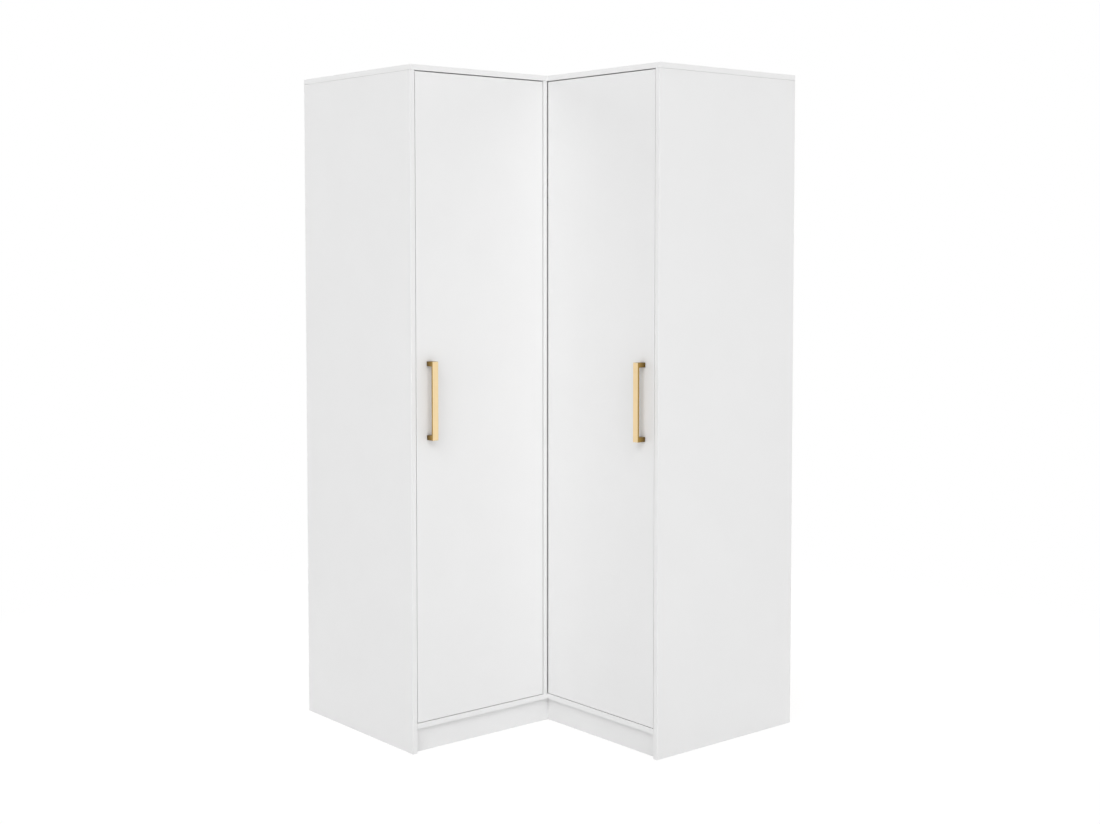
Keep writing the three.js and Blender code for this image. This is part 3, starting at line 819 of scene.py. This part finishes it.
class WARDROBE_OT_hinges(Operator):
    """Make the concealed hinges: cups in the doors, arms and plates on the carcass, and their screws"""
    bl_idname = "wardrobe.hinges"
    bl_label = "Hinges"

    def execute(self, context):
        settings = context.scene.wardrobe_hinges
        nickel = nickel_material(context.scene.wardrobe_finishes)
        count = count_of("left_hinge_cup_")
        for side in SIDES:
            place = door_frame(side)
            first, last = (middle_of(f"{side}_hinge_cup_{i}").z for i in (1, count))
            step = (0.0, 0.0, (last - first) / (count - 1))
            rise = Matrix.Translation((0, 0, first))
            for part, make, body in (
                ("cup", cup_mesh, side + "_leaf"),
                ("arm", arm_mesh, "carcass"),
                ("plate", plate_mesh, "carcass"),
            ):
                lowest = moved(make(side, settings), rise)
                row = run_tree(lowest, row_tree(), count=count, step=step, material=nickel)
                nodes = [f"{side}_hinge_{part}_{i + 1}" for i in range(count)]
                add_piece(f"{side}_hinge_{part}s", moved(row, place), nickel, body, nodes)
            self.add_screws(side, count, settings, nickel)
        return {"FINISHED"}

    def add_screws(self, side, count, settings, nickel):
        """Two screws through each cup's flange and two through each plate's wings."""
        flange = local_box(side, side + "_hinge_cup_1")[0][1]
        plate = local_box(side, side + "_hinge_plate_1")[1]
        wing_middle = plate[1] - WING_SETBACK - WING_WIDTH / 2
        place = door_frame(side)
        for part, body, face, out, reach, seed in (
            ("cup", side + "_leaf", (0, flange), (0, -1, 0), 24.0, 3),
            ("plate", "carcass", (plate[0], wing_middle), (1, 0, 0), 17.0, 5),
        ):
            places = []
            for i in range(count):
                height = middle_of(f"{side}_hinge_cup_{i + 1}").z
                for end in (-1, 1):
                    point = Vector((face[0] * MM, face[1] * MM, height + end * reach * MM))
                    places.append((place @ point, place.to_3x3() @ Vector(out)))
            screw = screw_mesh(
                settings.screw_radius / MM, settings.screw_height / MM, shank_radius=1.6, shank_length=1.2)
            mesh = at_places(places, screw, nickel, most_turn=math.pi / 2, seed=seed)
            add_piece(f"{side}_hinge_{part}_screws", mesh, nickel, body)


# Coat rail

SOCKET_PLATE = 2.5  # thickness of a socket's plate


def socket_mesh(rail, socket):
    """A cup for the rail's end on an oval plate, from both sizes; it stands on z = 0."""
    wall, gap, steps = 2.0, 0.3, 12
    plate = slab([oval(socket.y, socket.z, steps)], (0, SOCKET_PLATE), rim=0.8)
    ring = [oval(rail.y + 2 * grow, rail.z + 2 * grow, steps) for grow in (gap + wall, gap)]
    return joined(plate, slab(ring, (SOCKET_PLATE / 2, socket.x), rim=0.7))


class WARDROBE_OT_coat_rail(Operator):
    """Make the oval coat rail, its two sockets and their screws"""
    bl_idname = "wardrobe.coat_rail"
    bl_label = "Coat Rail"

    def execute(self, context):
        colours = context.scene.wardrobe_finishes
        chrome, nickel = chrome_material(colours), nickel_material(colours)
        low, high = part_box("hanging_rail")
        middle, size = (low + high) / 2, (high - low) / MM
        wall, steps = 1.2, 16
        loops = [oval(size.y, size.z, steps), oval(size.y - 2 * wall, size.z - 2 * wall, steps)]
        tube = slab(loops, (0, size.x), rim=0.3)
        tube = moved(tube, Matrix.Translation((low.x, middle.y, middle.z)) @ UPRIGHT)
        add_piece("coat_rail", tube, chrome, "carcass", ["hanging_rail"])

        sockets, places, ear = [], [], 14.0
        nodes = ["rail_socket_corner", "rail_socket_side"]
        for node, out in zip(nodes, (1, -1)):
            socket_low, socket_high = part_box(node)
            socket = (socket_high - socket_low) / MM
            foot = socket_low.x if out == 1 else socket_high.x
            place = Matrix.Translation((foot, middle.y, middle.z)) @ Matrix.Diagonal((out, 1, 1, 1)) @ UPRIGHT
            sockets.append(moved(socket_mesh(size, socket), place))
            for end in (-1, 1):
                height = end * (socket.z - ear) / 2
                point = Vector((foot + out * SOCKET_PLATE * MM, middle.y, middle.z + height * MM))
                places.append((point, Vector((out, 0, 0))))
        add_piece("rail_sockets", joined(*sockets), chrome, "carcass", nodes)
        screw = screw_mesh(head_radius=3.2, head_height=1.4, shank_radius=1.6, shank_length=2)
        screws = at_places(places, screw, nickel, most_turn=math.pi / 2, seed=4)
        add_piece("rail_socket_screws", screws, nickel, "carcass")
        return {"FINISHED"}


# Small fittings

class FittingSettings(PropertyGroup):
    """Sizes of the small fittings that repeat."""
    pin_reach: length_property("Pin reach", "How far a shelf pin stands out of the panel", 8)
    pin_inset: length_property("Pin inset", "Front or rear edge of a shelf to its pins", 50)
    cap_radius: length_property("Cap radius", "Radius of a connector's cap", 8.5)
    cap_height: length_property("Cap height", "How far a connector's cap stands out", 0.9)
    cap_inset: length_property("Cap inset", "End of a board to its connectors", 34)
    nail_spacing: length_property("Nail spacing", "Distance between the nails of a back", 120)
    nail_radius: length_property("Nail radius", "Radius of a nail's head", 1.6)
    nail_inset: length_property("Nail inset", "Edge of a back to its nails", 4)


def left_inner_faces():
    """The two faces that the left cupboard's shelves end at, as y and the direction into the cupboard."""
    return ((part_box("left_side_panel")[1].y, 1), (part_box("partition_panel")[0].y, -1))


class WARDROBE_OT_shelf_pins(Operator):
    """Make the pins that the left cupboard's shelves lie on"""
    bl_idname = "wardrobe.shelf_pins"
    bl_label = "Shelf Pins"

    def execute(self, context):
        settings = context.scene.wardrobe_fittings
        radius, in_hole, gap, bevel, nose, sides = 2.5, 10.0, 0.3, 0.8, 1.2, 20
        reach = settings.pin_reach / MM
        profile = [(0, -in_hole), (radius - bevel, -in_hole), (radius, bevel - in_hole)]
        profile += arc((radius - nose, reach - nose), nose, 0, 90) + [(0, reach)]
        places = []
        for i in range(count_of("left_shelf_")):
            low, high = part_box(f"left_shelf_{i + 1}")
            height = low.z - (radius + gap) * MM
            for x in (low.x + settings.pin_inset, high.x - settings.pin_inset):
                for y, out in left_inner_faces():
                    places.append((Vector((x, y, height)), Vector((0, out, 0))))
        nickel = nickel_material(context.scene.wardrobe_finishes)
        mesh = at_places(places, turned(profile, sides), nickel)
        add_piece("shelf_pins", mesh, nickel, "carcass")
        return {"FINISHED"}


class WARDROBE_OT_connector_caps(Operator):
    """Make the caps over the connectors inside the carcass"""
    bl_idname = "wardrobe.connector_caps"
    bl_label = "Connector Caps"

    def execute(self, context):
        settings = context.scene.wardrobe_fittings
        radius, height, edge, rim, sides = settings.cap_radius / MM, settings.cap_height / MM, 0.6, 0.1, 32
        profile = [(0, height), (radius * 0.6, height * 0.9), (radius - edge, height * 0.65),
                   (radius, rim), (radius, 0), (0, 0)]
        plastic = cap_material(context.scene.wardrobe_finishes)
        mesh = at_places(self.places(settings), turned(profile, sides), plastic)
        add_piece("connector_caps", mesh, plastic, "carcass")
        return {"FINISHED"}

    def places(self, settings):
        """Two caps near the top of each upright's inner face, and four under the hat shelf."""
        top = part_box("top_panel")[0].z - settings.cap_inset
        inset = 60 * MM
        places = []
        for y, out in left_inner_faces():
            node = "left_side_panel" if out == 1 else "partition_panel"
            low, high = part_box(node)
            places += [(Vector((x, y, top)), Vector((0, out, 0))) for x in (low.x + inset, high.x - inset)]
        for node, out in (("corner_side_panel", 1), ("right_side_panel", -1)):
            low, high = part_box(node)
            x = high.x if out == 1 else low.x
            places += [(Vector((x, y, top)), Vector((out, 0, 0))) for y in (low.y + inset, high.y - inset)]
        low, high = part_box("hat_shelf")
        for x in (low.x + settings.cap_inset, high.x - settings.cap_inset):
            places += [(Vector((x, y, low.z)), Vector((0, 0, -1))) for y in (low.y + inset, high.y - inset)]
        return places


class WARDROBE_OT_back_nails(Operator):
    """Make the nails round the two hardboard backs"""
    bl_idname = "wardrobe.back_nails"
    bl_label = "Back Nails"

    def execute(self, context):
        settings = context.scene.wardrobe_fittings
        zinc = zinc_material(context.scene.wardrobe_finishes)
        radius, proud, sunk, sides = settings.nail_radius / MM, 0.15, 0.6, 10
        profile = [(0, proud), (radius * 0.7, proud * 0.8), (radius, 0), (radius * 0.5, -sunk), (0, -sunk)]
        # The nails' rectangle lies in x and y, and each back turns it to its own outer face
        for node, to_back in (
            ("left_back_sheet", Matrix(((0, 0, -1), (-1, 0, 0), (0, 1, 0)))),
            ("right_back_sheet", Matrix(((-1, 0, 0), (0, 0, 1), (0, 1, 0)))),
        ):
            low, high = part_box(node)
            across = max(high.x - low.x, high.y - low.y)
            mesh = run_tree(
                turned(profile, sides), nail_tree(), width=across - 2 * settings.nail_inset,
                height=high.z - low.z - 2 * settings.nail_inset, spacing=settings.nail_spacing, material=zinc)
            centre = (low + high) / 2
            out = to_back @ Vector((0, 0, 1))
            face = centre + Vector([o * s / 2 for o, s in zip(out, high - low)])
            mesh = moved(mesh, Matrix.Translation(face) @ to_back.to_4x4())
            add_piece(node.replace("sheet", "nails"), mesh, zinc, "carcass")
        return {"FINISHED"}


# Stage

RATED_AT = 4.0  # metres from the wardrobe's middle at which a lamp would take the power given


def power_property(name, description, watts):
    return FloatProperty(
        name=name, description=f"{description}, in watts at {RATED_AT:g} m", default=watts, min=0)


class StageSettings(PropertyGroup):
    """Camera, lamps and floor."""
    camera_place: FloatVectorProperty(
        name="Camera", description="Where the camera stands", default=(3.81225, -3.16817, 1.48827),
        subtype="XYZ", unit="LENGTH", size=3)
    camera_aim: FloatVectorProperty(
        name="Aim", description="Direction that the camera looks in", default=(-0.76654, 0.63992, -0.05405),
        size=3)
    camera_lens: FloatProperty(
        name="Lens", description="Focal length on a sensor 36 mm wide", default=52.203, unit="CAMERA")
    camera_shift: FloatProperty(
        name="Shift", description="Vertical shift that the photograph was framed with", default=-0.07455)
    fill: share_property("Fill", "Light that comes evenly from all round", 0.345)
    key: power_property("Key", "High lamp to the right of the camera", 29)
    key_balance: FloatProperty(
        name="Key balance", description="Power of the left high lamp over the right one's", default=1.22,
        min=0)
    front: power_property("Front", "Each low lamp beside the camera", 19)
    side: power_property("Side", "Each lamp at the wardrobe's sides", 18)
    back: power_property("Back", "Each lamp behind the wardrobe", 50)
    floor_shade: share_property("Floor shade", "Share of the floor's whiteness that takes shadow", 0.15)


def seen_ray(tree):
    """One on rays whose end is seen, straight, in a reflection or through glass, and zero on light's own."""
    path = add_node(tree, "ShaderNodeLightPath").outputs
    seen = path["Is Camera Ray"]
    for kind in ("Is Glossy Ray", "Is Transmission Ray"):
        seen = add_node(tree, "ShaderNodeMath", {0: seen, 1: path[kind]}, operation="MAXIMUM")
    return seen


def add_world(scene, settings):
    """White where it is seen, and an even fill where it lights."""
    world = bpy.data.worlds.new("studio")
    scene.world = world
    world.use_nodes = True
    tree = world.node_tree
    tree.nodes.clear()
    strength = add_node(tree, "ShaderNodeMapRange", {
        "Value": seen_ray(tree), "To Min": settings.fill, "To Max": 1.0})
    background = add_node(tree, "ShaderNodeBackground", {"Color": (1, 1, 1, 1), "Strength": strength})
    add_node(tree, "ShaderNodeOutputWorld", {"Surface": background})


def add_floor(settings):
    """Matt white paper. It is seen as white with the wardrobe's faint shadow, which fades out with the
    distance, and it is a plain pale floor to the light."""
    half, paper, lit, shade = 12.0, 0.8, 0.8, settings.floor_shade
    mesh = bpy.data.meshes.new("floor")
    corners = [(-half, -half, 0), (half, -half, 0), (half, half, 0), (-half, half, 0)]
    mesh.from_pydata(corners, [], [tuple(range(4))])
    floor = bpy.data.objects.new("floor", mesh)
    bpy.context.scene.collection.objects.link(floor)
    material, tree, point = new_material("white_paper")
    plain = add_node(tree, "ShaderNodeBsdfDiffuse", {"Color": (paper, paper, paper, 1)})
    soft = add_node(tree, "ShaderNodeBsdfDiffuse", {"Color": (shade, shade, shade, 1)})
    # The glow makes up for the light that the soft paper doesn't return where no shadow falls
    glow = add_node(tree, "ShaderNodeEmission", {"Strength": 1 - shade * lit})
    shaded = add_node(tree, "ShaderNodeAddShader", {0: soft, 1: glow})
    white = add_node(tree, "ShaderNodeEmission", {"Strength": 1.0})
    reach = add_node(tree, "ShaderNodeVectorMath", {0: point}, operation="LENGTH")
    away = add_node(tree, "ShaderNodeMapRange", {"Value": reach, "From Min": 0.9, "From Max": 2.6})
    faded = add_node(tree, "ShaderNodeMixShader", {0: away, 1: shaded, 2: white})
    seen = add_node(tree, "ShaderNodeMixShader", {0: seen_ray(tree), 1: plain, 2: faded})
    add_node(tree, "ShaderNodeOutputMaterial", {"Surface": seen})
    mesh.materials.append(material)


def add_lamp(name, azimuth, elevation, distance, width, power):
    """A square soft box aimed at the wardrobe's middle; azimuth is measured from the photograph's side,
    positive to the camera's right."""
    front = Vector((0.7676, -0.6410, 0))
    right = Vector((-front.y, front.x, 0))
    a, e = math.radians(azimuth), math.radians(elevation)
    out = (front * math.cos(a) + right * math.sin(a)) * math.cos(e) + Vector((0, 0, math.sin(e)))
    light = bpy.data.lights.new(name, "AREA")
    light.size = width
    light.energy = power * (distance / RATED_AT) ** 2
    lamp = bpy.data.objects.new(name, light)
    bpy.context.scene.collection.objects.link(lamp)
    lamp.location = Vector((0, 0, 1)) + out * distance
    lamp.rotation_mode = "QUATERNION"
    lamp.rotation_quaternion = (-out).to_track_quat("-Z", "Y")
    # Metal shows the white background and not the lamps' own shapes
    lamp.visible_glossy = False


class WARDROBE_OT_stage(Operator):
    """Set up the camera, the soft studio light and the pale floor"""
    bl_idname = "wardrobe.stage"
    bl_label = "Stage"

    def execute(self, context):
        scene = context.scene
        settings = scene.wardrobe_stage
        camera = bpy.data.objects.new("camera", bpy.data.cameras.new("camera"))
        scene.collection.objects.link(camera)
        scene.camera = camera
        camera.location = settings.camera_place
        camera.rotation_mode = "QUATERNION"
        camera.rotation_quaternion = Vector(settings.camera_aim).to_track_quat("-Z", "Y")
        camera.data.lens = settings.camera_lens
        camera.data.shift_y = settings.camera_shift
        add_world(scene, settings)
        add_floor(settings)
        near, far, small, large = RATED_AT, 12.0, 1.8, 5.0
        for name, azimuth, elevation, distance, width, power, balance in (
            ("key", 20, 38, far, large, settings.key, settings.key_balance),
            ("front", 30, 3, near, small, settings.front, 1),
            ("side", 100, 20, near, small, settings.side, 1),
            ("back", 145, 25, near, small, settings.back, 1),
        ):
            add_lamp(name + "_left", -azimuth, elevation, distance, width, power * balance)
            add_lamp(name + "_right", azimuth, elevation, distance, width, power)
        scene.view_settings.view_transform = "Standard"
        return {"FINISHED"}


class WARDROBE_PT_parts(Panel):
    """Lists the wardrobe's parts in the sidebar"""
    bl_idname = "WARDROBE_PT_parts"
    bl_label = "Corner Wardrobe"
    bl_space_type = "VIEW_3D"
    bl_region_type = "UI"
    bl_category = "Wardrobe"

    def draw(self, context):
        for operator in OPERATORS:
            self.layout.operator(operator.bl_idname)


OPERATORS = (
    WARDROBE_OT_boards,
    WARDROBE_OT_handles,
    WARDROBE_OT_hinges,
    WARDROBE_OT_coat_rail,
    WARDROBE_OT_shelf_pins,
    WARDROBE_OT_connector_caps,
    WARDROBE_OT_back_nails,
    WARDROBE_OT_stage,
)
SETTINGS = {
    "wardrobe_finishes": FinishSettings,
    "wardrobe_handles": HandleSettings,
    "wardrobe_hinges": HingeSettings,
    "wardrobe_fittings": FittingSettings,
    "wardrobe_stage": StageSettings,
}


def register():
    for group in (*SETTINGS.values(), *OPERATORS, WARDROBE_PT_parts):
        bpy.utils.register_class(group)
    for name, group in SETTINGS.items():
        setattr(bpy.types.Scene, name, PointerProperty(type=group))


def unregister():
    for name in SETTINGS:
        delattr(bpy.types.Scene, name)
    for group in (WARDROBE_PT_parts, *reversed(OPERATORS), *reversed(SETTINGS.values())):
        bpy.utils.unregister_class(group)


def main():
    """Builds every part in order."""
    register()
    for operator in OPERATORS:
        getattr(bpy.ops.wardrobe, operator.bl_idname.split(".")[1])()


if __name__ == "__main__":
    main()
